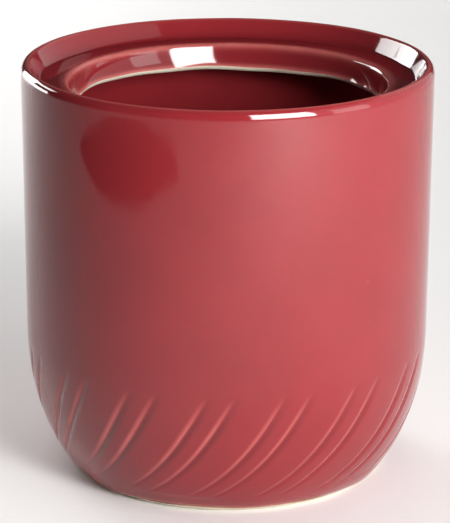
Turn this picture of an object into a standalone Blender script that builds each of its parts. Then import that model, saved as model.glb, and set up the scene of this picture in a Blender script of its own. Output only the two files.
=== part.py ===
"""Stoneware canister with a swirl-grooved lower wall and a gallery for a lid.

The clay is one casting. Three glaze coats cover it: outside, inside and in the recess under the foot.
Metres, +Z up, the foot rests on z = 0 and the axis is the Z axis.
"""

import math

import bmesh
import bpy

# Overall sizes of the glazed surface
HEIGHT = 0.1630
WALL_RADIUS = 0.0800
WALL_DRAFT = 0.0006

# Lower curve: an elliptical arc from the foot of the straight wall to a point that would lie under the table
CURVE_HEIGHT = 0.0565
CURVE_REACH = 0.0414
CURVE_SINK = 0.0111

# Foot
GLAZE_LINE = 0.0018
FOOT_STEP = 0.0023
FOOT_ROUND = 0.0006
FOOT_WIDTH = 0.0044
RECESS_DEPTH = 0.0022

# Lip and gallery
LIP_SETBACK = 0.0023
LIP_ROLL = 0.0036
LIP_ROUND = 0.0012
LEDGE_DROP = 0.0073
RIDGE_ROUND = 0.0021
NECK_REACH = 0.0182
MOUTH_INSET = 0.0023
MOUTH_DROP = 0.0163
TRIM_HEIGHT = 0.0018

# Walls and coats
WALL = 0.0055
FLOOR = 0.0056
NECK_WALL = 0.0045
NECK_NOSE = 0.0022
NECK_FILLET = 0.0011
SHOULDER_ROUND = 0.0040
FLOOR_ROUND = 0.0080
GLAZE = 0.0005
SEAT_GAP = 0.0003

# Swirl grooves, in pairs around the lower curve
PAIRS = 16
SWIRL_DROP = 0.0035
SWIRL_FOOT = 0.0080
GROOVE_DEPTH = 0.0009
GROOVE_EDGE = 0.0010
GROOVE_BED = 0.0007
GROOVE_WIDTH = 0.0050
GROOVE_SPACING = 0.0110
LEAN_TOP = math.radians(28.6)
LEAN_FOOT = math.radians(56.4)
FIRST_PAIR_ANGLE = math.radians(16.7)

# Mesh counts
GROOVE_COLUMNS = 6
SWIRL_ROWS = 8
LIP_STEPS = 3
RIDGE_STEPS = 3
NECK_STEPS = 3
ROUND_STEPS = 2
BOWL_STEPS = 4

# Lean of the lip's inner face, lean of the neck at its top, and the angle of the object's front
COVE_LEAN = math.radians(29.0)
NECK_LEAN = math.radians(9.0)
FRONT = -math.pi / 2

# How much of the room beside the neck the chamber's shoulder may round
SHOULDER_ROOM_SHARE = 0.8

# Sizes that follow from those above
CURVE_FALL = CURVE_HEIGHT + CURVE_SINK
BELLY_RADIUS = WALL_RADIUS - WALL_DRAFT
NECK_RADIUS = WALL_RADIUS - NECK_REACH
MOUTH_RADIUS = NECK_RADIUS - MOUTH_INSET
CLAY_DEPTH = GLAZE + SEAT_GAP


class Ring:
    """One ring of points at a radius and a height, turned by an angle, with or without grooves."""

    def __init__(self, radius, height, turn=0.0, depth=0.0, slope=0.0, fine=False):
        self.radius = radius
        self.height = height
        self.turn = turn
        self.depth = depth
        self.slope = slope
        self.fine = fine

    def points(self):
        if self.radius == 0:
            return [(0.0, 0.0, self.height)]
        if not self.fine:
            count = PAIRS * GROOVE_COLUMNS // 2
            return [self.place(k * math.tau / count, 0.0) for k in range(count)]
        return [self.place(angle, sink * self.depth) for angle, sink in groove_columns()]

    def place(self, angle, sink):
        turned = FRONT + FIRST_PAIR_ANGLE + self.turn + angle
        radius = self.radius - sink * math.cos(self.slope)
        height = self.height + sink * math.sin(self.slope)
        return (radius * math.cos(turned), radius * math.sin(turned), height)


def groove_columns():
    """Angles around one turn, each with its share of the groove depth."""
    section = [(-GROOVE_EDGE, 0.0), (GROOVE_BED, 1.0), (GROOVE_WIDTH - GROOVE_EDGE, 0.0)]
    columns = []
    for pair in range(PAIRS):
        for groove in range(2):
            for across, sink in section:
                arc = across + groove * GROOVE_SPACING
                columns.append((pair * math.tau / PAIRS + arc / BELLY_RADIUS, sink))
    return columns


def ellipse_arc(centre, reach, rise, start, end, steps):
    """Points of an ellipse from one angle to another, both ends kept."""
    points = []
    for step in range(steps + 1):
        angle = start + (end - start) * step / steps
        points.append((centre[0] + reach * math.cos(angle), centre[1] + rise * math.sin(angle)))
    return points


def curve_point(depth, height):
    """Radius and outward slope of the lower curve at a height, for a layer at a depth."""
    reach = CURVE_REACH - depth
    fall = CURVE_FALL - depth
    angle = math.asin(min(1.0, (CURVE_HEIGHT - height) / fall))
    radius = BELLY_RADIUS - CURVE_REACH + reach * math.cos(angle)
    slope = math.atan2(math.sin(angle) / fall, math.cos(angle) / reach)
    return radius, slope


def swirl_rings(depth):
    """Fine rings of the grooved band, from its foot to its top."""
    start = math.asin(SWIRL_DROP / CURVE_FALL)
    end = math.asin((CURVE_HEIGHT - SWIRL_FOOT) / CURVE_FALL)
    rings = []
    turn = 0.0
    before = None
    for row in range(SWIRL_ROWS + 1):
        share = row / SWIRL_ROWS
        angle = start + (end - start) * share
        surface = CURVE_HEIGHT - CURVE_FALL * math.sin(angle)
        base_radius = BELLY_RADIUS - CURVE_REACH + CURVE_REACH * math.cos(angle)
        if before:
            run = math.hypot(base_radius - before[0], surface - before[1])
            lean = LEAN_TOP + (LEAN_FOOT - LEAN_TOP) * (share - 0.5 / SWIRL_ROWS) ** 2
            turn -= run * math.tan(lean) / ((base_radius + before[0]) / 2)
        before = (base_radius, surface)
        slope = math.atan2(math.sin(angle) / CURVE_FALL, math.cos(angle) / CURVE_REACH)
        radius = base_radius - depth * math.cos(slope)
        height = surface + depth * math.sin(slope)
        sink = GROOVE_DEPTH * math.sin(math.pi * share) ** 0.6 if 0 < row < SWIRL_ROWS else 0.0
        rings.append(Ring(radius, height, turn, sink, slope, fine=True))
    rings.reverse()
    return rings


def outer_rings(depth, foot_height):
    """Rings of the outside at a depth below the glazed surface, from the foot to the neck's trimmed edge."""
    swirl = swirl_rings(depth)
    radius, _ = curve_point(depth, foot_height)
    rings = [Ring(radius, foot_height, swirl[0].turn)]
    rings += swirl
    rings.append(Ring(BELLY_RADIUS - depth, CURVE_HEIGHT))
    rings += [Ring(r, z) for r, z in lip_points(depth) + ridge_points(depth) + neck_points(depth)]
    return rings


def lip_points(depth):
    """The lip: its outer roll, the round inside the crest and the inner face down to the ledge."""
    crest_radius = WALL_RADIUS - LIP_SETBACK
    roll = ellipse_arc((crest_radius, HEIGHT - LIP_ROLL), LIP_SETBACK - depth, LIP_ROLL - depth,
                       0.0, math.pi / 2, LIP_STEPS)
    inner = ellipse_arc((crest_radius, HEIGHT - LIP_ROUND), -(LIP_ROUND - depth), LIP_ROUND - depth,
                        math.pi / 2, COVE_LEAN, ROUND_STEPS)
    radius, height = inner[-1]
    ledge = HEIGHT - LEDGE_DROP - depth
    return roll + inner[1:] + [(radius - (height - ledge) * math.tan(COVE_LEAN), ledge)]


def ridge_points(depth):
    """The round from the ledge over to the neck."""
    centre = (NECK_RADIUS + RIDGE_ROUND, HEIGHT - LEDGE_DROP - RIDGE_ROUND)
    return ellipse_arc(centre, -(RIDGE_ROUND - depth), RIDGE_ROUND - depth, math.pi / 2, NECK_LEAN, RIDGE_STEPS)


def neck_points(depth):
    """The neck's visible face below the ridge: a hollow arc that leans in more and more down to the mouth."""
    start_radius, start_height = ridge_points(0.0)[-1]
    across = start_radius - MOUTH_RADIUS
    drop = start_height - HEIGHT + MOUTH_DROP
    turn = math.atan2(across, drop) - NECK_LEAN
    radius = math.hypot(across, drop) / (2 * math.sin(turn))
    centre = (start_radius - radius * math.cos(NECK_LEAN), start_height + radius * math.sin(NECK_LEAN))
    arc = ellipse_arc(centre, radius + depth, radius + depth, -NECK_LEAN, -NECK_LEAN - 2 * turn, NECK_STEPS)
    return arc[1:]


def inner_rings(depth):
    """Rings of the chamber at a depth below its glazed surface, from the trimmed edge to the floor's centre."""
    ceiling = HEIGHT - LEDGE_DROP - WALL + depth
    inside = WALL_RADIUS - WALL + depth
    neck_back = NECK_RADIUS + NECK_WALL - depth
    nose = MOUTH_RADIUS + NECK_NOSE
    root = HEIGHT - LEDGE_DROP - WALL - NECK_FILLET
    hang = root - nose_foot() - depth
    swell = ellipse_arc((nose, root), neck_back - nose, hang, -math.pi / 2, 0.0, ROUND_STEPS + 1)
    rings = [Ring(r, z) for r, z in swell]
    rings.append(Ring(neck_back + NECK_FILLET, ceiling))
    room = WALL_RADIUS - WALL - NECK_RADIUS - NECK_WALL - NECK_FILLET
    round_radius = min(SHOULDER_ROUND, room * SHOULDER_ROOM_SHARE) + depth
    shoulder = ellipse_arc((inside - round_radius, ceiling - round_radius), round_radius, round_radius,
                           math.pi / 2, 0.0, ROUND_STEPS)
    rings += [Ring(r, z) for r, z in shoulder]
    rings.append(Ring(BELLY_RADIUS - WALL + depth, CURVE_HEIGHT))
    rings += bowl_rings(depth)
    return rings


def nose_foot():
    """Height of the lowest point of the neck."""
    return HEIGHT - MOUTH_DROP - TRIM_HEIGHT


def bowl_rings(depth):
    """The chamber's lower curve, the round into the floor and the floor's centre."""
    floor = RECESS_DEPTH + FLOOR - depth
    reach = CURVE_REACH - WALL + depth
    fall = CURVE_FALL - WALL + depth
    centre = BELLY_RADIUS - CURVE_REACH
    end = math.asin((CURVE_HEIGHT - floor - FLOOR_ROUND / 2) / fall)
    rings = []
    for step in range(1, BOWL_STEPS + 1):
        angle = end * step / BOWL_STEPS
        rings.append(Ring(centre + reach * math.cos(angle), CURVE_HEIGHT - fall * math.sin(angle)))
    corner = rings[-1]
    rings.append(Ring(corner.radius - FLOOR_ROUND / 2, floor + FLOOR_ROUND / 8))
    rings.append(Ring(corner.radius - FLOOR_ROUND, floor))
    rings.append(Ring(0, floor))
    return rings


def foot_radius():
    """Outer radius of the foot ring: one step in from the glaze's lower edge."""
    flush_radius, _ = curve_point(0.0, GLAZE_LINE)
    return flush_radius - FOOT_STEP


def recess_rings(turn):
    """The clay under the foot: the recess ceiling, the ring's inner wall, its flat and its outer round."""
    outside = foot_radius()
    wall = outside - FOOT_WIDTH
    return [
        Ring(0, RECESS_DEPTH, turn),
        Ring(wall - FOOT_ROUND, RECESS_DEPTH, turn),
        Ring(wall, RECESS_DEPTH - FOOT_ROUND, turn),
        Ring(wall, FOOT_ROUND, turn),
        Ring(wall + FOOT_ROUND, 0, turn),
        Ring(outside - FOOT_ROUND, 0, turn),
        Ring(outside, FOOT_ROUND / 2, turn),
    ]


def join(bm, lower, upper):
    """Faces between two rings: equal counts, one count double the other, or a single centre point."""
    if len(lower) == 1 and len(upper) == 1:
        return
    if len(lower) == len(upper):
        count = len(lower)
        for k in range(count):
            bm.faces.new((lower[k], lower[(k + 1) % count], upper[(k + 1) % count], upper[k]))
        return
    coarse, fine = (lower, upper) if len(lower) < len(upper) else (upper, lower)
    if len(coarse) == 1:
        for k in range(len(fine)):
            bm.faces.new((coarse[0], fine[k], fine[(k + 1) % len(fine)]))
        return
    for k in range(len(coarse)):
        following = coarse[(k + 1) % len(coarse)]
        last = fine[(2 * k + 2) % len(fine)]
        bm.faces.new((coarse[k], fine[2 * k], fine[2 * k + 1]))
        bm.faces.new((coarse[k], fine[2 * k + 1], following))
        bm.faces.new((following, fine[2 * k + 1], last))


def make_node(name, rings, material, closed=False):
    """One closed body from a chain of rings; closed chains meet their own start."""
    bm = bmesh.new()
    loops = [[bm.verts.new(point) for point in ring.points()] for ring in rings]
    for lower, upper in zip(loops, loops[1:]):
        join(bm, lower, upper)
    if closed:
        join(bm, loops[-1], loops[0])
    bmesh.ops.recalc_face_normals(bm, faces=bm.faces)
    bmesh.ops.triangulate(bm, faces=bm.faces)
    for face in bm.faces:
        face.smooth = True
    mesh = bpy.data.meshes.new(name)
    bm.to_mesh(mesh)
    bm.free()
    mesh.materials.append(material)
    node = bpy.data.objects.new(name, mesh)
    bpy.context.scene.collection.objects.link(node)
    return node


def make_material(name, colour, roughness, metallic=0.0):
    material = bpy.data.materials.new(name)
    material.use_nodes = True
    shader = material.node_tree.nodes["Principled BSDF"]
    shader.inputs["Base Color"].default_value = (*colour, 1.0)
    shader.inputs["Roughness"].default_value = roughness
    shader.inputs["Metallic"].default_value = metallic
    return material


def clay_body():
    outside = outer_rings(CLAY_DEPTH, GLAZE_LINE + SEAT_GAP)
    turn = outside[0].turn
    flush_radius, _ = curve_point(0.0, GLAZE_LINE)
    seat_radius, _ = curve_point(CLAY_DEPTH, GLAZE_LINE)
    foot = recess_rings(turn) + [Ring(flush_radius, GLAZE_LINE, turn), Ring(seat_radius, GLAZE_LINE, turn)]
    seat_edge = MOUTH_RADIUS + NECK_NOSE - SEAT_GAP
    trimmed = [
        Ring(MOUTH_RADIUS, HEIGHT - MOUTH_DROP - CLAY_DEPTH),
        Ring(MOUTH_RADIUS, nose_foot() + GLAZE),
        Ring(MOUTH_RADIUS + GLAZE, nose_foot()),
        Ring(seat_edge, nose_foot()),
        Ring(seat_edge, nose_foot() + CLAY_DEPTH),
    ]
    inside = inner_rings(CLAY_DEPTH)
    clay = make_material("clay", (0.74, 0.68, 0.56), 0.85)
    return make_node("clay_body", foot + outside + trimmed + inside, clay)


def outer_glaze():
    outside = outer_rings(0.0, GLAZE_LINE + SEAT_GAP)
    inside = outer_rings(GLAZE, GLAZE_LINE + SEAT_GAP)
    inside.reverse()
    glaze = make_material("burgundy_glaze", (0.34, 0.035, 0.045), 0.08)
    return make_node("outer_glaze", outside + inside, glaze, closed=True)


def inner_glaze():
    visible = inner_rings(0.0)
    hidden = inner_rings(GLAZE)
    hidden.reverse()
    glaze = make_material("burgundy_glaze_inside", (0.30, 0.03, 0.04), 0.10)
    return make_node("inner_glaze", visible + hidden, glaze, closed=True)


def underside_glaze():
    edge = foot_radius() - FOOT_WIDTH - FOOT_ROUND - SEAT_GAP
    top = RECESS_DEPTH - SEAT_GAP
    rings = [Ring(0, top - GLAZE), Ring(edge - GLAZE, top - GLAZE), Ring(edge, top), Ring(0, top)]
    glaze = make_material("burgundy_glaze_under", (0.32, 0.03, 0.04), 0.12)
    return make_node("underside_glaze", rings, glaze)


def main():
    for thing in list(bpy.data.objects):
        bpy.data.objects.remove(thing, do_unlink=True)
    clay_body()
    outer_glaze()
    inner_glaze()
    underside_glaze()


main()
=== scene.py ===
"""Looks of the glazed stoneware canister: fine surfaces, finishes, studio light and the photograph's camera.

Metres, +Z up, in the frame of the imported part. The front of the object faces -Y.
"""

import math

import bpy
import numpy as np
from mathutils import Matrix, Vector


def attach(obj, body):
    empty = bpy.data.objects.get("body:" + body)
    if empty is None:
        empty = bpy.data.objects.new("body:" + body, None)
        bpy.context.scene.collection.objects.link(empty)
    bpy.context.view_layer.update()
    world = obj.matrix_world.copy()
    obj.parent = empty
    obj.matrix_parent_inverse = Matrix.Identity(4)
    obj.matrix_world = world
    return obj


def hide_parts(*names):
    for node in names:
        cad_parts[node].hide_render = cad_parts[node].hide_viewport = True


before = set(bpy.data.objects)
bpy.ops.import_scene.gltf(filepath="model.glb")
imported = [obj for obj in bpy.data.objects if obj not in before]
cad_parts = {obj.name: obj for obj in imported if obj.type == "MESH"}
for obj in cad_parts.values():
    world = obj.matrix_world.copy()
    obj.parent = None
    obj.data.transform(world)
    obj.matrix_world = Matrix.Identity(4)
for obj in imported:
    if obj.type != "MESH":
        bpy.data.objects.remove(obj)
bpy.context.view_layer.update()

# Lengths are in metres and angles in radians, if nothing else is said.

# Overall sizes of the glazed surface, as in the part's source. The lower curve is part of an ellipse: its
# centre's height, its reach out and its fall.
HEIGHT = 0.1630
WALL_RADIUS = 0.0800
BELLY_RADIUS = 0.0794
CURVE_HEIGHT = 0.0565
CURVE_REACH = 0.0414
CURVE_FALL = 0.0676
# Azimuth of the front
FRONT = -math.pi / 2

# Foot: bare clay under the glaze line, a ring and a recess inside it
GLAZE_LINE = 0.0018
FOOT_STEP = 0.0023
FOOT_ROUND = 0.0006
FOOT_WIDTH = 0.0044
RECESS_DEPTH = 0.0022
FOOT_BEND_SHARE = 0.55

# Lip and gallery, from the outer roll in to the neck's trimmed edge. Drops are from the top.
LIP_SETBACK = 0.0023
LIP_ROLL = 0.0036
LIP_ROUND = 0.0012
COVE_LEAN = math.radians(29.0)
COVE_FILLET = 0.0012
LEDGE_DROP = 0.0073
RIDGE_ROUND = 0.0021
NECK_RADIUS = 0.0618
MOUTH_RADIUS = 0.0595
MOUTH_DROP = 0.0163
NOSE_DROP = 0.0018
NECK_LEAN = math.radians(9.0)
NOSE_BEND = 0.0002

# Walls and coats. The outer coat's back and the clay are hidden. They lie deeper than the real coat is
# thick, so that they don't come through the grooves.
WALL = 0.0055
FLOOR = 0.0056
NECK_WALL = 0.0045
NECK_NOSE = 0.0022
NECK_FILLET = 0.0011
SHOULDER_ROUND = 0.0040
FLOOR_ROUND = 0.0080
GLAZE = 0.0005
BACK_DEPTH = 0.0014
CLAY_DEPTH = 0.0016
CLAY_INSIDE = 0.0008
POLE_RADIUS = 0.0040

# Heights that follow from these
LEDGE_HEIGHT = HEIGHT - LEDGE_DROP
NECK_ROOT_HEIGHT = LEDGE_HEIGHT - WALL - NECK_FILLET
NOSE_HEIGHT = HEIGHT - MOUTH_DROP - NOSE_DROP

# The underside's coat: its gap to the clay, and places in from its edge
UNDERSIDE_GAP = 0.0003
UNDERSIDE_TURN = 0.0016
UNDERSIDE_CORNER = 0.0003
UNDERSIDE_BACK = 0.0020

# Swirl grooves, in pairs around the lower curve. They start a drop under the curve's top and end at a height
# above the foot. They lean off the vertical, more and more towards the foot.
PAIRS = 16
GROOVES_IN_PAIR = 2
SWIRL_DROP = 0.0035
SWIRL_FOOT = 0.0080
GROOVE_DEPTH = 0.0009
GROOVE_EDGE = 0.0012
GROOVE_BED = 0.0008
GROOVE_WIDTH = 0.0050
GROOVE_SPACING = 0.0110
LEAN_TOP = math.radians(28.6)
LEAN_FOOT = math.radians(56.4)
FIRST_PAIR_ANGLE = math.radians(16.7)
# How steeply the depth fades at both ends, and the share of it that is lost towards the foot
FADE_POWER = 0.6
FOOT_EASE = 0.4
# The pairs stand slightly off an even spacing
PAIR_SHIFT = math.radians(0.85)
PAIR_SHIFT_WAVES = 3
PAIR_SHIFT_PHASE = math.radians(-150.0)
PAIR_ANGLE = math.tau / PAIRS
PAIR_WIDTH = PAIR_ANGLE * BELLY_RADIUS

# Paint on the grooves: place and width across a groove, and strength, of the pale edge and the dark bed. The
# pale edge is thin glaze with a painted highlight on the groove's lit side. The dark bed is pooled glaze with
# painted shade
EDGE_THIN_AND_HIGHLIGHT = (-0.0005, 0.0008, 0.72)
BED_POOL_AND_SHADE = (0.0017, 0.0014, 0.95)
GROOVE_PAINT_GAIN = 1.3
GROOVE_PAINT_POWER = 1.8

# Glaze that runs thin or pools along the profile: widths of the bands, with strengths where there are two
# numbers.
# The crest's band is a painted highlight on thin glaze. The cove's foot and the ledge are darkened with
# painted shade as well as pooled glaze. The ridge's band is centred at an angle from the top of its round.
RIDGE_PALE = (0.0016, 0.85)
# The crest's band is a painted highlight on thin glaze
CREST_HIGHLIGHT = (0.0008, 0.70)
MOUTH_PALE = (0.0011, 1.0)
FOOT_PALE = (0.0008, 0.80)
INNER_PALE = 0.0012
UNDERSIDE_PALE = 0.0015
RIDGE_PALE_ANGLE = 0.7
COVE_POOL_AND_SHADE = 0.0026
LEDGE_POOL_AND_SHADE = 0.6
# How near to the ledge's height a point counts as on it
LEDGE_BAND = 0.0003

# Waves of the wall: size along the normal, waves around one turn, radians for each metre up, phase
WALL_WAVES = ((0.00010, 2, 9.0, 0.4), (0.00006, 3, 21.0, 2.1), (0.00003, 5, 37.0, 4.0),
              (0.000022, 11, 95.0, 1.3), (0.000016, 17, -140.0, 5.2))
# Waves of the hand-trimmed edge: height, waves around one turn, phase
TRIM_WAVES = ((0.00035, 3, 0.6), (0.00022, 7, 2.2), (0.00012, 13, 4.4))

# Rows for each stretch of the outside, and the share of the wall's height above which its rows lie closer
SEEN_ROWS = dict(foot=5, swirl=46, top=3, wall=8, near=4, roll=18, round=10, cove=14,
                 ledge=4, ridge=12, neck=14)
HIDDEN_ROWS = dict(foot=2, swirl=14, top=1, wall=2, near=1, roll=3, round=2, cove=3,
                   ledge=1, ridge=3, neck=4)
NEAR_LIP_SHARE = 0.94
FILLET_STEPS = 8
SWIRL_SAMPLES = 400

# Columns. Each dip is a place across a groove, a width and how much closer the columns come there.
COLUMNS_PER_PAIR = 34
HIDDEN_COLUMNS = 192
COLUMN_SAMPLES = 2001
COLUMN_GAP = 0.0017
COLUMN_GAP_LEAST = 0.0003
COLUMN_DIPS = ((0.0002, 0.0012, 0.00132), (0.0030, 0.0022, 0.0007))
SHARP_ANGLE = math.radians(60)

# Photograph and camera
PHOTO_WIDTH = 450
PHOTO_HEIGHT = 523
FOCAL_PIXELS = 2644.4
CAMERA_PLACE = Vector((0.0, -1.0, 0.3989))
CAMERA_PITCH = math.radians(17.616)
CAMERA_YAW = math.radians(-0.046)
CAMERA_ROLL = math.radians(0.234)
SENSOR_MM = 36.0
NEAREST = 0.01

# Outline of the dark patch that the wall mirrors, in the photograph's pixels
PATCH_OUTLINE = ((88, 126), (108, 122), (128, 120), (145, 123), (151, 137), (166, 142), (174, 156),
                 (179, 180), (171, 189), (157, 197), (137, 208), (124, 204), (109, 197), (99, 187),
                 (90, 173), (84, 158), (80, 144), (82, 134))
# Height off the floor of the card that makes it
CARD_HEIGHT = 0.0006

# Studio. A window has a name, two azimuths in degrees, a distance, two heights and a radiance.
FLOOR_RADIUS = 6.0
FLOOR_SIDES = 96
DIFFUSE_WINDOWS = (
    ("key_soft", (25, 41), 0.85, (0.14, 0.50), 32.0),
    ("key_top", (12, 40), 0.85, (0.50, 0.80), 10.0),
    ("key_edge", (41, 55), 0.85, (0.14, 0.80), 2.0),
    ("side_soft", (56, 76), 1.0, (0.05, 0.60), 4.4),
    ("side_far", (76, 120), 1.0, (0.05, 0.60), 1.3),
    ("back_low", (-154, -140), 1.3, (0.03, 0.25), 32.0),
    ("back_side", (-140, -125), 1.3, (0.03, 0.25), 8.2),
    ("back_high", (-155, -140), 1.3, (0.50, 0.85), 11.0),
    ("back_fill", (-170, -155), 1.3, (0.25, 0.85), 2.5),
    ("far_right", (123, 172), 1.3, (0.05, 0.60), 0.6),
)
GLOSS_WINDOWS = (
    ("key_shine", (12, 46), 0.85, (0.14, 0.80), 23.0),
    ("side_shine", (57, 79), 1.0, (0.05, 0.60), 2.6),
    ("right_shine", (44, 98), 1.3, (0.0, 1.4), 0.75),
    ("far_shine", (98, 152), 1.3, (0.0, 1.4), 0.75),
    ("back_shine", (-150, -131), 1.3, (0.05, 0.75), 10.0),
    ("back_low_shine", (-131, -112), 1.3, (0.05, 0.28), 10.0),
    ("back_high_shine", (-131, -112), 1.3, (0.55, 0.78), 10.0),
)
# A ceiling has a name, a place, a side, a radiance and whether it lights the floor alone.
CEILINGS = (
    ("top_ceiling", (0.0, 0.0, 1.8), 1.1, 0.7, False),
    ("far_ceiling", (-0.3, 1.3, 1.3), 1.4, 1.25, True),
    ("right_ceiling", (0.9, 0.9, 1.2), 0.9, 1.3, True),
    ("left_ceiling", (-0.13, -0.04, 0.15), 0.08, 2.3, True),
    ("far_left_ceiling", (-0.20, 0.42, 0.30), 0.2, 1.3, True),
)

# Colours, in linear light
GLAZE_RED = (0.245, 0.0196, 0.0245, 1.0)
# The deep colour serves the cloudy tone, the flecks, and the pooled glaze with painted shade
GLAZE_DEEP = (0.152, 0.0098, 0.013, 1.0)
# Pale colour of thin glaze, also used for painted highlights
GLAZE_THIN_AND_HIGHLIGHT = (0.55, 0.135, 0.12, 1.0)
PALE_SPECK = (0.62, 0.24, 0.24, 1.0)
DARK_PIN = (0.07, 0.006, 0.009, 1.0)
CLAY_LIGHT = (0.76, 0.69, 0.55, 1.0)
CLAY_WARM = (0.66, 0.57, 0.43, 1.0)
CLAY_GRAIN = (0.50, 0.40, 0.28, 1.0)
CLAY_SPOT = (0.30, 0.22, 0.15, 1.0)
FLOOR_COOL = (0.80, 0.79, 0.775, 1.0)
FLOOR_PALE = (0.82, 0.81, 0.80, 1.0)
CARD_BLACK = (0.012, 0.012, 0.012, 1.0)
ROOM_SEEN = (0.86, 0.86, 0.855, 1.0)
ROOM_DIM = (0.9, 0.93, 1.0, 1.0)
ROOM_DIM_STRENGTH = 0.03

# How much of a colour each pattern mixes in
CLOUD_SHARE = 0.28
# The pool share mixes in the deep colour for pooled glaze and painted shade
POOL_AND_SHADE_SHARE = 0.8
FLECK_SHARE = 0.22
PALE_SPECK_SHARE = 0.65
DARK_PIN_SHARE = 0.6
CLAY_GRAIN_SHARE = 0.35
CLAY_SPOT_SHARE = 0.5

# Noise lies mostly in this span, and specks are full out to this share of their radius.
NOISE_SPAN = (0.3, 0.7)
SPECK_CORE = 0.45

# Surfaces: least and most roughness, height of the fine relief, and shares of it
GLAZE_IOR = 1.52
GLAZE_ROUGHNESS = (0.045, 0.085)
GLAZE_RELIEF = 0.000010
SWELL_RELIEF = 2.2
PIN_RELIEF = 2.5
SPECK_RELIEF = 1.2
CLAY_ROUGHNESS = (0.70, 0.90)
CLAY_RELIEF = 0.00004
MATT = 0.9
FLOOR_SHEEN = 0.1


def arc(centre, reach, rise, start, end, steps):
    """Points of an ellipse from one angle to another, both ends kept."""
    angle = np.linspace(start, end, steps + 1)
    return np.column_stack((centre[0] + reach * np.cos(angle), centre[1] + rise * np.sin(angle)))


def line(start, end, steps):
    share = np.linspace(0.0, 1.0, steps + 1)[:, None]
    return np.array(start) * (1 - share) + np.array(end) * share


def bend(before, corner, after, steps):
    """A soft corner: a quadratic curve from one point to another that heads for the corner."""
    share = np.linspace(0.0, 1.0, steps + 1)[:, None]
    return (np.array(before) * (1 - share) ** 2 + np.array(corner) * 2 * share * (1 - share)
            + np.array(after) * share ** 2)


def chain(*parts):
    """One path from stretches that share their end points."""
    path = [parts[0]]
    for part in parts[1:]:
        path.append(part[1:])
    return np.vstack(path)


def curve_angle(height, fall):
    return math.asin(min(1.0, (CURVE_HEIGHT - height) / fall))


def swirl_ends():
    """Angles on the lower curve where the grooves start at the top and end at the foot."""
    return math.asin(SWIRL_DROP / CURVE_FALL), curve_angle(SWIRL_FOOT, CURVE_FALL)


def lower_curve(depth, steps):
    """The outside's lower curve from the glaze line to the straight wall, with its rows per stretch."""
    reach = CURVE_REACH - depth
    fall = CURVE_FALL - depth
    centre = (BELLY_RADIUS - CURVE_REACH, CURVE_HEIGHT)
    top, foot = swirl_ends()
    end = curve_angle(GLAZE_LINE, fall)
    parts = [arc(centre, reach, -fall, end, foot, steps[0]),
             arc(centre, reach, -fall, foot, top, steps[1]),
             arc(centre, reach, -fall, top, 0.0, steps[2])]
    return chain(*parts)


def swept(start, end, first_lean, depth, steps):
    """A hollow arc down and in from one point to another, at a depth behind it. It leans in more and more."""
    chord = math.dist(start, end)
    lean = math.atan2(start[0] - end[0], start[1] - end[1])
    radius = chord / (2 * math.sin(lean - first_lean))
    last_lean = 2 * lean - first_lean
    centre = (start[0] - radius * math.cos(first_lean), start[1] + radius * math.sin(first_lean))
    return arc(centre, radius + depth, radius + depth, -first_lean, -last_lean, steps)


def lip(depth, steps):
    """The lip from the wall's end over the crest to the ledge: outer roll, inner round and cove."""
    crest_radius = WALL_RADIUS - LIP_SETBACK
    roll_centre = (crest_radius, HEIGHT - LIP_ROLL)
    round_centre = (crest_radius, HEIGHT - LIP_ROUND)
    roll = arc(roll_centre, LIP_SETBACK - depth, LIP_ROLL - depth, 0.0, math.pi / 2, steps["roll"])
    inner = arc(round_centre, -(LIP_ROUND - depth), LIP_ROUND - depth, math.pi / 2, COVE_LEAN, steps["round"])
    ledge = LEDGE_HEIGHT - depth
    cove_top = inner[-1]
    cove_foot = (cove_top[0] - (cove_top[1] - ledge) * math.tan(COVE_LEAN), ledge)
    return chain(roll, inner, line(cove_top, cove_foot, steps["cove"]))


def ridge_and_neck(depth, steps):
    """The ledge's inner edge and the neck's visible face, which leans in down to the mouth."""
    centre = (NECK_RADIUS + RIDGE_ROUND, LEDGE_HEIGHT - RIDGE_ROUND)
    ridge = arc(centre, -(RIDGE_ROUND - depth), RIDGE_ROUND - depth, math.pi / 2, NECK_LEAN, steps["ridge"])
    start = (centre[0] - RIDGE_ROUND * math.cos(NECK_LEAN), centre[1] + RIDGE_ROUND * math.sin(NECK_LEAN))
    return chain(ridge, swept(start, (MOUTH_RADIUS, HEIGHT - MOUTH_DROP), NECK_LEAN, depth, steps["neck"]))


def filleted(path, corner, reach, steps):
    """A path with one corner point replaced by a soft bend that starts and ends a reach away."""
    before = path[:corner][np.hypot(*(path[:corner] - path[corner]).T) > reach]
    after = path[corner + 1:][np.hypot(*(path[corner + 1:] - path[corner]).T) > reach]
    lead = path[corner] + (before[-1] - path[corner]) / math.dist(before[-1], path[corner]) * reach
    leave = path[corner] + (after[0] - path[corner]) / math.dist(after[0], path[corner]) * reach
    return np.vstack((before, bend(lead, path[corner], leave, steps), after))


def outside_path(depth, fine):
    """Radius and height along the outside, from the glaze line to the neck's trimmed edge.

    The fine path is for the surface that shows. The other has fewer rows and no fillet at the cove's foot.
    """
    steps = SEEN_ROWS if fine else HIDDEN_ROWS
    lower = lower_curve(depth, (steps["foot"], steps["swirl"], steps["top"]))
    roll_foot = (WALL_RADIUS - depth, HEIGHT - LIP_ROLL)
    belly = (BELLY_RADIUS - depth, CURVE_HEIGHT)
    near = np.array(belly) * (1 - NEAR_LIP_SHARE) + np.array(roll_foot) * NEAR_LIP_SHARE
    wall = chain(lower, line(belly, near, steps["wall"]), line(near, roll_foot, steps["near"]))
    top = lip(depth, steps)
    inside = ridge_and_neck(depth, steps)
    path = chain(wall, top, line(top[-1], inside[0], steps["ledge"]), inside)
    if not fine:
        return path
    corner = len(wall) + len(top) - 2
    return filleted(path, corner, COVE_FILLET, FILLET_STEPS)


def bump_at(distance, width):
    return np.exp(-(distance / width) ** 2)


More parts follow.
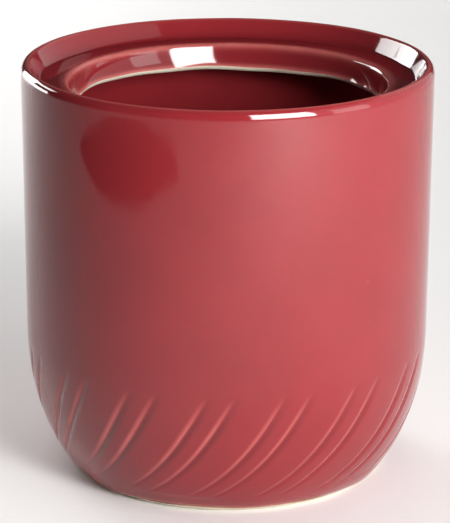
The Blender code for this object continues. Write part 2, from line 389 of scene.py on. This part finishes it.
def normals_along(path):
    """Unit normals to the right of the way a path runs, one per point."""
    ahead = np.gradient(path, axis=0)
    length = np.hypot(ahead[:, 0], ahead[:, 1])
    length[length == 0] = 1.0
    return np.column_stack((ahead[:, 1], -ahead[:, 0])) / length[:, None]


def twist(path):
    """How far each point's columns turn to follow the leaning grooves."""
    turn = np.zeros(len(path))
    band_top = CURVE_HEIGHT - SWIRL_DROP
    top, foot = swirl_ends()
    fine_angle = np.linspace(top, foot, SWIRL_SAMPLES)
    radius = BELLY_RADIUS - CURVE_REACH + CURVE_REACH * np.cos(fine_angle)
    height = CURVE_HEIGHT - CURVE_FALL * np.sin(fine_angle)
    share = np.linspace(0.0, 1.0, SWIRL_SAMPLES)
    lean = LEAN_TOP + (LEAN_FOOT - LEAN_TOP) * share ** 2
    run = np.hypot(np.diff(radius), np.diff(height))
    middle = (lean[1:] + lean[:-1]) / 2
    total = np.concatenate(([0.0], -np.cumsum(run * np.tan(middle) / ((radius[1:] + radius[:-1]) / 2))))
    below = path[:, 1] < band_top
    outer = path[:, 0] > BELLY_RADIUS - CURVE_REACH
    pick = below & outer
    turn[pick] = np.interp(-path[pick, 1], -height, total)
    return turn


def groove_share(path):
    """Groove depth along a path as a share of the full depth: it fades out at both ends of the swirl.

    It also falls towards the foot, where the grooves lean over and grow narrow.
    """
    top, foot = swirl_ends()
    along = (CURVE_HEIGHT - path[:, 1]) / CURVE_FALL
    angle = np.arcsin(np.clip(along, 0.0, 1.0))
    share = np.clip((angle - top) / (foot - top), 0.0, 1.0)
    return np.sin(math.pi * share) ** FADE_POWER * (1.0 - FOOT_EASE * share)


def groove_section(across):
    """Sink of a groove's section, 0 to 1, at a distance across it: one steep side and one long, soft side."""
    steep = np.clip((across + GROOVE_EDGE) / (GROOVE_BED + GROOVE_EDGE), 0.0, 1.0)
    end = GROOVE_WIDTH - GROOVE_EDGE
    back = np.clip((end - across) / (end - GROOVE_BED), 0.0, 1.0)
    rise = steep * steep * (3 - 2 * steep)
    fall = back * back * (3 - 2 * back)
    return np.minimum(rise, fall)


def across_grooves(place):
    """Distances of places along one pair's width from each groove, also from those of the pairs beside it."""
    for groove in range(GROOVES_IN_PAIR):
        for beside in (-PAIR_WIDTH, 0.0, PAIR_WIDTH):
            yield place - groove * GROOVE_SPACING + beside


def groove_sink(columns):
    """Sink, pale edge and dark bed of the grooves at each column angle, each 0 to 1. The pale edge is thin
    glaze with a painted highlight. The dark bed is pooled glaze with painted shade.
    """
    sink = np.zeros(len(columns))
    edge = np.zeros(len(columns))
    bed = np.zeros(len(columns))
    for across in across_grooves((columns % PAIR_ANGLE) * BELLY_RADIUS):
        sink = np.maximum(sink, groove_section(across))
        # The pale edge carries a painted highlight and the dark bed carries painted shade
        edge = np.maximum(edge, bump_at(across - EDGE_THIN_AND_HIGHLIGHT[0], EDGE_THIN_AND_HIGHLIGHT[1]))
        bed = np.maximum(bed, bump_at(across - BED_POOL_AND_SHADE[0], BED_POOL_AND_SHADE[1]))
    return sink, edge, bed


def fine_columns():
    """Column angles around one turn, close together where the grooves' sides bend."""
    place = np.linspace(0.0, PAIR_WIDTH, COLUMN_SAMPLES)
    spacing = np.full(len(place), COLUMN_GAP)
    for across in across_grooves(place):
        for dip, width, closer in COLUMN_DIPS:
            spacing -= closer * bump_at(across - dip, width)
    spacing = np.maximum(spacing, COLUMN_GAP_LEAST)
    count = np.concatenate(([0.0], np.cumsum(1.0 / spacing[:-1])))
    wanted = np.linspace(0.0, count[-1], COLUMNS_PER_PAIR + 1)[:-1]
    one_pair = np.interp(wanted, count, place) / BELLY_RADIUS
    return np.concatenate([one_pair + pair * PAIR_ANGLE for pair in range(PAIRS)])


def pair_shift(columns):
    """How far the pairs stand off an even spacing, in radians."""
    return PAIR_SHIFT * np.sin(PAIR_SHIFT_WAVES * columns + PAIR_SHIFT_PHASE)


def even_columns(count):
    return np.arange(count) * math.tau / count


def unevenness(azimuth, height):
    """Slight out-of-round and waviness of a slip-cast wall, in metres along the normal."""
    total = np.zeros(np.broadcast(azimuth, height).shape)
    for size, around, along, phase in WALL_WAVES:
        total = total + size * np.sin(around * azimuth + along * height + phase)
    return total


def trim_wave(azimuth):
    """How much higher the hand-trimmed edge lies at each azimuth, in metres."""
    return sum(size * np.sin(azimuth * around + phase) for size, around, phase in TRIM_WAVES)


def surface(path, columns):
    """Points of the outside, one row per point of the path and one column per angle, with grooves and waves.

    The path runs from the foot up, so that its normals point out. Its far end moves with the trimmed edge.
    """
    turn = twist(path)
    azimuth = FRONT + FIRST_PAIR_ANGLE + turn[:, None] + (columns + pair_shift(columns))[None, :]
    sink, _, _ = groove_sink(columns)
    normal = normals_along(path)
    depth = GROOVE_DEPTH * groove_share(path)[:, None] * sink[None, :]
    push = unevenness(azimuth, path[:, 1:2]) - depth
    radius = path[:, 0:1] + push * normal[:, 0:1]
    height = path[:, 1:2] + (push * normal[:, 1:2]) * (path[:, 1:2] > GLAZE_LINE)
    height = height + trim_weight(path)[:, None] * trim_wave(azimuth)
    return turned(radius, height, azimuth)


def turned(radius, height, azimuth):
    """Points in space from radius, height and azimuth."""
    return np.stack((radius * np.cos(azimuth), radius * np.sin(azimuth), height), axis=-1)


def trim_weight(path):
    """How much each point moves with the trimmed edge: none at the ridge, all at the edge."""
    ridge = LEDGE_HEIGHT - RIDGE_ROUND
    share = np.clip((ridge - path[:, 1]) / (MOUTH_DROP - LEDGE_DROP - RIDGE_ROUND), 0.0, 1.0)
    share[path[:, 0] > NECK_RADIUS + NECK_WALL] = 0.0
    return share * share


def mesh_from_rows(name, rows, loop):
    """A closed mesh from rows of points. A row of one point is a pole.

    With loop, the last row meets the first.
    """
    starts = np.cumsum([0] + [len(row) for row in rows])
    faces = []
    pairs = list(zip(range(len(rows) - 1), range(1, len(rows))))
    if loop:
        pairs.append((len(rows) - 1, 0))
    for low, high in pairs:
        count = max(len(rows[low]), len(rows[high]))
        if count == 1:
            continue
        here = np.arange(count)
        after = (here + 1) % count
        if len(rows[low]) == 1:
            corners = (np.full(count, starts[low]), starts[high] + after, starts[high] + here)
        elif len(rows[high]) == 1:
            corners = (starts[low] + here, starts[low] + after, np.full(count, starts[high]))
        else:
            corners = (starts[low] + here, starts[low] + after, starts[high] + after, starts[high] + here)
        faces += np.column_stack(corners).tolist()
    mesh = bpy.data.meshes.new(name)
    mesh.from_pydata(np.vstack(rows).tolist(), [], faces)
    mesh.shade_smooth()
    mesh.set_sharp_from_angle(angle=SHARP_ANGLE)
    piece = bpy.data.objects.new(name, mesh)
    bpy.context.scene.collection.objects.link(piece)
    return piece


def add_attribute(piece, name, values):
    attribute = piece.data.attributes.new(name, "FLOAT", "POINT")
    attribute.data.foreach_set("value", np.asarray(values, dtype=np.float32))


def run_along(path):
    """The length of a path up to each of its points."""
    return np.concatenate(([0.0], np.cumsum(np.hypot(*np.diff(path, axis=0).T))))


def distance_to(path, place):
    return np.hypot(*(path - place).T)


def coat_masks(path, columns):
    """Thin and pooled glaze on the outer coat, with painted highlight and painted shade, each 0 to 1 for
    every point.

    Thin: the ridge, the lip's crest, the mouth's and the foot's edges, and the grooves' edges. The crest and
    the grooves' edges carry a painted highlight.
    Pooled: the cove's foot, the ledge and the grooves' beds, which also carry painted shade.
    """
    run = run_along(path)
    ridge_centre = np.array((NECK_RADIUS + RIDGE_ROUND, LEDGE_HEIGHT - RIDGE_ROUND))
    to_ridge_top = np.array((-math.sin(RIDGE_PALE_ANGLE), math.cos(RIDGE_PALE_ANGLE)))
    ridge_top = ridge_centre + RIDGE_ROUND * to_ridge_top
    crest = path[np.argmax(path[:, 1])]
    cove_foot = lip(0.0, dict(roll=1, round=1, cove=1))[-1]
    bands = ((distance_to(path, ridge_top), RIDGE_PALE), (distance_to(path, crest), CREST_HIGHLIGHT),
             (run[-1] - run, MOUTH_PALE), (run, FOOT_PALE))
    along = np.maximum.reduce([strength * bump_at(distance, width) for distance, (width, strength) in bands])
    _, edge, bed = groove_sink(columns)
    share = np.minimum(GROOVE_PAINT_GAIN * groove_share(path) ** GROOVE_PAINT_POWER, 1.0)
    # Pale bands: thin glaze, with a painted highlight on the crest and on the grooves' edges
    thin_and_highlight = np.maximum(along[:, None], EDGE_THIN_AND_HIGHLIGHT[2] * share[:, None] * edge[None, :])
    # Darker at the cove's foot and on the ledge: pooled glaze and painted shade
    on_ledge = (abs(path[:, 1] - LEDGE_HEIGHT) < LEDGE_BAND) & (path[:, 0] > NECK_RADIUS + RIDGE_ROUND)
    hollow = np.maximum(bump_at(distance_to(path, cove_foot), COVE_POOL_AND_SHADE), LEDGE_POOL_AND_SHADE * on_ledge)
    pool_and_shade = np.maximum(hollow[:, None], BED_POOL_AND_SHADE[2] * share[:, None] * bed[None, :])
    return thin_and_highlight, pool_and_shade


def outer_coat():
    columns = fine_columns()
    seen = outside_path(0.0, fine=True)
    hidden = outside_path(BACK_DEPTH, fine=False)
    rows = list(surface(seen, columns)) + list(surface(hidden, columns))[::-1]
    piece = mesh_from_rows("outer_glaze_coat", rows, loop=True)
    thin_and_highlight, pool_and_shade = coat_masks(seen, columns)
    rest = np.zeros((len(hidden), len(columns)))
    # Pale mask: thin glaze and painted highlight. Dark mask: pooled glaze and painted shade.
    add_attribute(piece, "thin_and_highlight", np.vstack((thin_and_highlight, rest)).ravel())
    add_attribute(piece, "pool_and_shade", np.vstack((pool_and_shade, rest)).ravel())
    return piece


def chamber_path(depth, steps):
    """Radius and height inside the chamber, from the trimmed edge to the floor's centre."""
    roof = LEDGE_HEIGHT - WALL + depth
    inside = WALL_RADIUS - WALL + depth
    neck_back = NECK_RADIUS + NECK_WALL - depth
    nose = MOUTH_RADIUS + NECK_NOSE
    hang = NECK_ROOT_HEIGHT - NOSE_HEIGHT - depth
    swell = arc((nose, NECK_ROOT_HEIGHT), neck_back - nose, hang, -math.pi / 2, 0.0, steps)
    root_end = (neck_back + NECK_FILLET, roof)
    fillet = bend(swell[-1], (neck_back, roof), root_end, max(2, steps // 2))
    rounding = SHOULDER_ROUND + depth
    shoulder = arc((inside - rounding, roof - rounding), rounding, rounding, math.pi / 2, 0.0, steps)
    floor = RECESS_DEPTH + FLOOR - depth
    reach = CURVE_REACH - WALL + depth
    fall = CURVE_FALL - WALL + depth
    centre = (BELLY_RADIUS - CURVE_REACH, CURVE_HEIGHT)
    end = math.asin((CURVE_HEIGHT - floor - FLOOR_ROUND / 2) / fall)
    bowl = arc(centre, reach, -fall, 0.0, end, steps * 2)
    corner = bowl[-1]
    floor_bend = bend(corner, (corner[0] - FLOOR_ROUND / 2, floor), (corner[0] - FLOOR_ROUND, floor), steps)
    wall = line(shoulder[-1], bowl[0], max(2, steps // 2))
    return chain(swell, fillet, line(root_end, shoulder[0], 2), shoulder, wall, bowl, floor_bend,
                 line(floor_bend[-1], (POLE_RADIUS, floor), max(3, steps)))


def pole(height):
    """One row with one point, on the axis."""
    return [np.array([[0.0, 0.0, height]])]


def inner_coat():
    columns = even_columns(HIDDEN_COLUMNS)
    seen = chamber_path(0.0, steps=10)
    hidden = chamber_path(GLAZE, steps=4)
    shown = list(surface_plain(seen, columns))
    back = list(surface_plain(hidden, columns))
    rows = shown + pole(seen[-1][1]) + pole(hidden[-1][1]) + back[::-1]
    piece = mesh_from_rows("inner_glaze_coat", rows, loop=True)
    thin_and_highlight = np.repeat(bump_at(run_along(seen), INNER_PALE)[:, None], len(columns), axis=1)
    rest = np.zeros(2 + len(hidden) * len(columns))
    add_attribute(piece, "thin_and_highlight", np.concatenate((thin_and_highlight.ravel(), rest)))
    add_attribute(piece, "pool_and_shade", np.zeros(len(piece.data.vertices)))
    return piece


def surface_plain(path, columns):
    """Points of a surface without grooves. The chamber's nose moves with the trimmed edge."""
    azimuth = np.broadcast_to(FRONT + FIRST_PAIR_ANGLE + columns[None, :], (len(path), len(columns)))
    weight = np.clip((NECK_ROOT_HEIGHT - path[:, 1:2]) / (NECK_ROOT_HEIGHT - NOSE_HEIGHT), 0.0, 1.0)
    weight = weight * (path[:, 0:1] < NECK_RADIUS + NECK_WALL) * (path[:, 0:1] > MOUTH_RADIUS / 2)
    weight = weight * (path[:, 1:2] > CURVE_HEIGHT)
    height = path[:, 1:2] + weight * trim_wave(azimuth)
    return turned(path[:, 0:1], height, azimuth)


def foot_radius():
    angle = curve_angle(GLAZE_LINE, CURVE_FALL)
    return BELLY_RADIUS - CURVE_REACH + CURVE_REACH * math.cos(angle) - FOOT_STEP


def foot_path():
    """The bare clay under the foot: recess ceiling, foot ring and the step out to the glaze line."""
    outside = foot_radius()
    wall = outside - FOOT_WIDTH
    flush = outside + FOOT_STEP
    recess_end = (wall, RECESS_DEPTH - FOOT_ROUND)
    recess_corner = bend((wall - FOOT_ROUND, RECESS_DEPTH), (wall, RECESS_DEPTH), recess_end, steps=4)
    ring_in = bend((wall, FOOT_ROUND), (wall, 0.0), (wall + FOOT_ROUND, 0.0), steps=4)
    ring_end = (outside + FOOT_ROUND / 2, FOOT_ROUND)
    ring_out = bend((outside - FOOT_ROUND, 0.0), (outside, 0.0), ring_end, steps=4)
    step_corner = (outside + FOOT_STEP / 2, GLAZE_LINE * FOOT_BEND_SHARE)
    step = bend(ring_end, step_corner, (flush, GLAZE_LINE), steps=5)
    return chain(line((POLE_RADIUS, RECESS_DEPTH), recess_corner[0], steps=6), recess_corner,
                 line(recess_corner[-1], ring_in[0], steps=1), ring_in,
                 line(ring_in[-1], ring_out[0], steps=3), ring_out, step)


def clay():
    columns = even_columns(HIDDEN_COLUMNS * 2)
    under = foot_path()
    azimuth = FRONT + FIRST_PAIR_ANGLE + columns[None, :]
    outside = outside_path(CLAY_DEPTH, fine=False)
    face_top = (MOUTH_RADIUS, HEIGHT - MOUTH_DROP)
    edge_end = (MOUTH_RADIUS + NECK_NOSE, NOSE_HEIGHT)
    edge = bend(face_top, (MOUTH_RADIUS + NOSE_BEND, NOSE_HEIGHT), edge_end, steps=8)
    inside = chamber_path(CLAY_INSIDE, steps=5)
    trim = np.repeat(trim_wave(azimuth), len(edge), axis=0)
    edge_rows = turned(edge[:, 0:1], edge[:, 1:2] + trim, azimuth)
    out_rows = list(surface(outside, columns))
    rows = pole(RECESS_DEPTH) + list(ring_rows(under, azimuth)) + out_rows[:-1]
    rows += list(edge_rows) + list(surface_plain(inside, columns))
    return mesh_from_rows("clay_casting", rows + pole(inside[-1][1]), loop=False)


def ring_rows(path, azimuth):
    height = np.broadcast_to(path[:, 1:2], (len(path), azimuth.shape[1]))
    return turned(path[:, 0:1], height, azimuth)


def underside_coat():
    edge = foot_radius() - FOOT_WIDTH - FOOT_ROUND - UNDERSIDE_GAP
    top = RECESS_DEPTH - UNDERSIDE_GAP
    face = top - GLAZE
    azimuth = FRONT + even_columns(HIDDEN_COLUMNS)[None, :]
    turn = (edge - UNDERSIDE_TURN, face)
    corner = (edge - UNDERSIDE_CORNER, face)
    lower = chain(line((POLE_RADIUS, face), turn, steps=8), bend(turn, corner, (edge, top), steps=5))
    upper = line((edge - UNDERSIDE_BACK, top), (POLE_RADIUS, top), steps=2)
    rows = pole(face) + list(ring_rows(lower, azimuth)) + list(ring_rows(upper, azimuth)) + pole(top)
    piece = mesh_from_rows("underside_glaze_coat", rows, loop=False)
    add_attribute(piece, "thin_and_highlight", bump_at(edge - np.hypot(*points_of(piece)[:, :2].T), UNDERSIDE_PALE))
    add_attribute(piece, "pool_and_shade", np.zeros(len(piece.data.vertices)))
    return piece


def points_of(piece):
    flat = np.empty(len(piece.data.vertices) * 3)
    piece.data.vertices.foreach_get("co", flat)
    return flat.reshape(-1, 3)


class Nodes:
    """A short way to add and link shader nodes."""

    def __init__(self, tree):
        self.tree = tree

    def add(self, kind, inputs=None, **settings):
        node = self.tree.nodes.new(kind)
        for name, value in settings.items():
            setattr(node, name, value)
        for name, value in (inputs or {}).items():
            if isinstance(value, bpy.types.NodeSocket):
                self.tree.links.new(value, node.inputs[name])
            else:
                node.inputs[name].default_value = value
        return node

    def calc(self, operation, first, second, clamp=False):
        node = self.add("ShaderNodeMath", {0: first, 1: second}, operation=operation, use_clamp=clamp)
        return node.outputs[0]

    def mix(self, share, first, second):
        """A blend of two colours. Several sockets of the node share a name, so the type tells them apart."""
        node = self.add("ShaderNodeMix", data_type="RGBA")
        sockets = (("Factor", "VALUE", share), ("A", "RGBA", first), ("B", "RGBA", second))
        for name, kind, value in sockets:
            socket = next(s for s in node.inputs if s.name == name and s.type == kind)
            if isinstance(value, bpy.types.NodeSocket):
                self.tree.links.new(value, socket)
            else:
                socket.default_value = value
        return next(s for s in node.outputs if s.type == "RGBA")

    def noise(self, place, scale, detail=2.0, roughness=0.5):
        inputs = {"Vector": place, "Scale": scale, "Detail": detail, "Roughness": roughness}
        return self.add("ShaderNodeTexNoise", inputs).outputs["Fac"]

    def ramp(self, value, low, high, to_low=0.0, to_high=1.0):
        inputs = {"Value": value, "From Min": low, "From Max": high, "To Min": to_low, "To Max": to_high}
        return self.add("ShaderNodeMapRange", inputs, clamp=True).outputs["Result"]


def new_material(name):
    material = bpy.data.materials.new(name)
    material.use_nodes = True
    tree = material.node_tree
    tree.nodes.clear()
    nodes = Nodes(tree)
    shader = nodes.add("ShaderNodeBsdfPrincipled")
    output = nodes.add("ShaderNodeOutputMaterial")
    tree.links.new(shader.outputs["BSDF"], output.inputs["Surface"])
    return material, nodes, shader


def specks(nodes, place, scale, radius, kept):
    """Sparse round specks at the centres of a grain's cells. Kept is the share of cells that show one."""
    inputs = {"Vector": place, "Scale": scale, "Randomness": 1.0}
    cells = nodes.add("ShaderNodeTexVoronoi", inputs)
    chosen = nodes.add("ShaderNodeSeparateColor", {"Color": cells.outputs["Color"]}).outputs[0]
    shown = nodes.calc("LESS_THAN", chosen, kept)
    spot = nodes.ramp(cells.outputs["Distance"], radius * SPECK_CORE, radius, to_low=1.0, to_high=0.0)
    return nodes.calc("MULTIPLY", shown, spot)


def glaze_material(name):
    """Burgundy glaze: paler where thin and where a highlight is painted, darker where it pools and where
    shade is painted, with specks and a faint orange peel.
    """
    material, nodes, shader = new_material(name)
    place = nodes.add("ShaderNodeNewGeometry").outputs["Position"]
    thin_and_highlight = nodes.add("ShaderNodeAttribute", attribute_name="thin_and_highlight").outputs["Fac"]
    pool_and_shade = nodes.add("ShaderNodeAttribute", attribute_name="pool_and_shade").outputs["Fac"]
    cloud = nodes.noise(place, scale=26.0, detail=3.0, roughness=0.55)
    fleck = nodes.noise(place, scale=420.0, detail=2.0, roughness=0.6)
    breakup = nodes.noise(place, scale=160.0, detail=3.0, roughness=0.6)
    tone = nodes.ramp(cloud, *NOISE_SPAN, to_high=CLOUD_SHARE)
    base = nodes.mix(tone, GLAZE_RED, GLAZE_DEEP)
    # Darker where the glaze pools and where shade is painted
    base = nodes.mix(nodes.calc("MULTIPLY", pool_and_shade, POOL_AND_SHADE_SHARE), base, GLAZE_DEEP)
    ragged = nodes.ramp(breakup, low=0.25, high=0.75, to_low=0.78, to_high=1.12)
    # Paler where the glaze is thin and where a highlight is painted
    base = nodes.mix(nodes.calc("MULTIPLY", thin_and_highlight, ragged, clamp=True), base, GLAZE_THIN_AND_HIGHLIGHT)
    base = nodes.mix(nodes.ramp(fleck, low=0.66, high=0.80, to_high=FLECK_SHARE), base, GLAZE_DEEP)
    pale = specks(nodes, place, scale=95.0, radius=0.030, kept=0.16)
    moved = nodes.add("ShaderNodeMapping", {"Vector": place, "Location": (0.31, 0.17, 0.05)}).outputs[0]
    pin = specks(nodes, moved, scale=150.0, radius=0.034, kept=0.10)
    base = nodes.mix(nodes.calc("MULTIPLY", pale, PALE_SPECK_SHARE), base, PALE_SPECK)
    base = nodes.mix(nodes.calc("MULTIPLY", pin, DARK_PIN_SHARE), base, DARK_PIN)
    nodes.tree.links.new(base, shader.inputs["Base Color"])
    sheen = nodes.noise(place, scale=60.0, detail=4.0)
    nodes.tree.links.new(nodes.ramp(sheen, *NOISE_SPAN, *GLAZE_ROUGHNESS), shader.inputs["Roughness"])
    shader.inputs["IOR"].default_value = GLAZE_IOR
    peel = nodes.noise(place, scale=210.0, detail=1.5, roughness=0.4)
    swell = nodes.noise(place, scale=55.0, detail=2.0, roughness=0.4)
    relief = nodes.calc("ADD", nodes.calc("MULTIPLY", swell, SWELL_RELIEF), peel)
    relief = nodes.calc("SUBTRACT", relief, nodes.calc("MULTIPLY", pin, PIN_RELIEF))
    relief = nodes.calc("ADD", relief, nodes.calc("MULTIPLY", pale, SPECK_RELIEF))
    bump = nodes.add("ShaderNodeBump", {"Strength": 1.0, "Distance": GLAZE_RELIEF, "Height": relief})
    nodes.tree.links.new(bump.outputs["Normal"], shader.inputs["Normal"])
    return material


def clay_material():
    material, nodes, shader = new_material("bare_cream_clay")
    place = nodes.add("ShaderNodeNewGeometry").outputs["Position"]
    tone = nodes.ramp(nodes.noise(place, scale=70.0, detail=4.0), *NOISE_SPAN)
    grain = nodes.noise(place, scale=900.0, detail=3.0, roughness=0.7)
    base = nodes.mix(tone, CLAY_LIGHT, CLAY_WARM)
    base = nodes.mix(nodes.ramp(grain, low=0.55, high=0.75, to_high=CLAY_GRAIN_SHARE), base, CLAY_GRAIN)
    spot = specks(nodes, place, scale=260.0, radius=0.16, kept=0.12)
    base = nodes.mix(nodes.calc("MULTIPLY", spot, CLAY_SPOT_SHARE), base, CLAY_SPOT)
    nodes.tree.links.new(base, shader.inputs["Base Color"])
    nodes.tree.links.new(nodes.ramp(grain, *NOISE_SPAN, *CLAY_ROUGHNESS), shader.inputs["Roughness"])
    bump = nodes.add("ShaderNodeBump", {"Strength": 1.0, "Distance": CLAY_RELIEF, "Height": grain})
    nodes.tree.links.new(bump.outputs["Normal"], shader.inputs["Normal"])
    return material


def floor_material():
    material, nodes, shader = new_material("pale_floor")
    place = nodes.add("ShaderNodeNewGeometry").outputs["Position"]
    tone = nodes.ramp(nodes.noise(place, scale=3.0, detail=3.0), *NOISE_SPAN)
    base = nodes.mix(tone, FLOOR_COOL, FLOOR_PALE)
    nodes.tree.links.new(base, shader.inputs["Base Color"])
    shader.inputs["Roughness"].default_value = MATT
    shader.inputs["Specular IOR Level"].default_value = FLOOR_SHEEN
    return material


def make_floor():
    """The pale floor, and the collection that lets a lamp light it alone."""
    bpy.ops.mesh.primitive_circle_add(vertices=FLOOR_SIDES, radius=FLOOR_RADIUS, fill_type="NGON")
    floor = bpy.context.object
    floor.name = "pale_floor"
    floor.data.materials.append(floor_material())
    alone = bpy.data.collections.new("floor_alone")
    alone.objects.link(floor)
    return alone


def camera_axes():
    """The camera's unit vectors: to the right, up and ahead."""
    flat = math.cos(CAMERA_PITCH)
    forward = Vector((math.sin(CAMERA_YAW) * flat, math.cos(CAMERA_YAW) * flat, -math.sin(CAMERA_PITCH)))
    level = Vector((math.cos(CAMERA_YAW), -math.sin(CAMERA_YAW), 0.0))
    upright = level.cross(forward)
    right = level * math.cos(CAMERA_ROLL) + upright * math.sin(CAMERA_ROLL)
    up = upright * math.cos(CAMERA_ROLL) - level * math.sin(CAMERA_ROLL)
    return right, up, forward


def mirrored_place(pixel):
    """The place on the card's level that the straight wall mirrors at a pixel of the photograph."""
    right, up, forward = camera_axes()
    ray = forward * FOCAL_PIXELS + right * (pixel[0] - PHOTO_WIDTH / 2) + up * (PHOTO_HEIGHT / 2 - pixel[1])
    ray.normalize()
    across = ray.x * ray.x + ray.y * ray.y
    toward = CAMERA_PLACE.x * ray.x + CAMERA_PLACE.y * ray.y
    beyond = CAMERA_PLACE.x ** 2 + CAMERA_PLACE.y ** 2 - WALL_RADIUS ** 2
    touch = CAMERA_PLACE + ray * ((-toward - math.sqrt(toward * toward - across * beyond)) / across)
    draft = (WALL_RADIUS - BELLY_RADIUS) / (HEIGHT - LIP_ROLL - CURVE_HEIGHT)
    normal = Vector((touch.x, touch.y, -draft * WALL_RADIUS)).normalized()
    bounced = ray - 2 * ray.dot(normal) * normal
    return touch + bounced * ((CARD_HEIGHT - touch.z) / bounced.z)


def make_dark_card():
    """A black card on the floor in front, hidden from the camera. The wall mirrors it as a dark patch."""
    corners = [mirrored_place(pixel) for pixel in PATCH_OUTLINE]
    mesh = bpy.data.meshes.new("dark_card")
    mesh.from_pydata([tuple(corner) for corner in corners], [], [tuple(range(len(corners)))])
    card = bpy.data.objects.new("dark_card", mesh)
    bpy.context.scene.collection.objects.link(card)
    material, _, shader = new_material("black_card")
    shader.inputs["Base Color"].default_value = CARD_BLACK
    shader.inputs["Roughness"].default_value = MATT
    mesh.materials.append(material)
    card.visible_camera = False


def aim(thing, place, target):
    direction = Vector(target) - Vector(place)
    thing.location = place
    thing.rotation_euler = direction.to_track_quat("-Z", "Y").to_euler()


def panel(name, size, radiance, seen_by):
    """A lit rectangle that shows in diffuse light or in gloss. Its radiance is what a camera would see."""
    light = bpy.data.lights.new(name, "AREA")
    light.shape = "RECTANGLE"
    light.size, light.size_y = size
    light.energy = math.pi * size[0] * size[1] * radiance
    lamp = bpy.data.objects.new(name, light)
    bpy.context.scene.collection.objects.link(lamp)
    lamp.visible_camera = False
    lamp.visible_diffuse = seen_by == "diffuse"
    lamp.visible_glossy = seen_by == "gloss"
    return lamp


def window(seen_by, name, azimuths, distance, heights, radiance):
    """An upright panel that faces the object, between two azimuths in degrees and two heights.

    Azimuth 0 is the camera's side, and plus is to its right.
    """
    spread = math.radians(azimuths[1] - azimuths[0]) / 2
    turn = math.radians(azimuths[1] + azimuths[0]) / 2
    middle = (heights[0] + heights[1]) / 2
    size = (2 * distance * math.tan(spread), heights[1] - heights[0])
    lamp = panel(name, size, radiance, seen_by)
    aim(lamp, (distance * math.sin(turn), -distance * math.cos(turn), middle), (0.0, 0.0, middle))


def ceiling(name, place, side, radiance, receivers):
    """A square panel that faces down. With receivers it lights only them, as a flagged lamp would."""
    lamp = panel(name, (side, side), radiance, "diffuse")
    lamp.location = place
    if receivers:
        lamp.light_linking.receiver_collection = receivers


def make_world():
    """Pale to the camera and dim to everything else, so the room is dark in the glaze's reflections."""
    world = bpy.data.worlds.new("studio")
    bpy.context.scene.world = world
    world.use_nodes = True
    world.node_tree.nodes.clear()
    nodes = Nodes(world.node_tree)
    seen = nodes.add("ShaderNodeLightPath").outputs["Is Camera Ray"]
    pale = nodes.add("ShaderNodeBackground", {"Color": ROOM_SEEN, "Strength": 1.0})
    dim = nodes.add("ShaderNodeBackground", {"Color": ROOM_DIM, "Strength": ROOM_DIM_STRENGTH})
    mixed = nodes.add("ShaderNodeMixShader", {0: seen, 1: dim.outputs[0], 2: pale.outputs[0]})
    nodes.add("ShaderNodeOutputWorld", {"Surface": mixed.outputs[0]})


def make_camera():
    camera = bpy.data.cameras.new("photo_camera")
    camera.sensor_fit = "VERTICAL"
    camera.sensor_height = SENSOR_MM
    camera.lens = FOCAL_PIXELS * SENSOR_MM / PHOTO_HEIGHT
    camera.clip_start = NEAREST
    eye = bpy.data.objects.new("photo_camera", camera)
    bpy.context.scene.collection.objects.link(eye)
    right, up, forward = camera_axes()
    facing = Matrix((right, up, -forward)).transposed().to_4x4()
    eye.matrix_world = Matrix.Translation(CAMERA_PLACE) @ facing
    bpy.context.scene.camera = eye


def dress(piece, material, node):
    piece.data.materials.append(material)
    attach(piece, "root")
    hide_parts(node)


def main():
    bpy.context.scene.view_settings.view_transform = "Standard"
    make_camera()
    make_world()
    floor_alone = make_floor()
    make_dark_card()
    for seen_by, windows in (("diffuse", DIFFUSE_WINDOWS), ("gloss", GLOSS_WINDOWS)):
        for settings in windows:
            window(seen_by, *settings)
    for *settings, for_floor in CEILINGS:
        ceiling(*settings, floor_alone if for_floor else None)
    dress(clay(), clay_material(), "clay_body")
    dress(outer_coat(), glaze_material("burgundy_gloss_outside"), "outer_glaze")
    dress(inner_coat(), glaze_material("burgundy_gloss_inside"), "inner_glaze")
    dress(underside_coat(), glaze_material("burgundy_gloss_under"), "underside_glaze")


main()
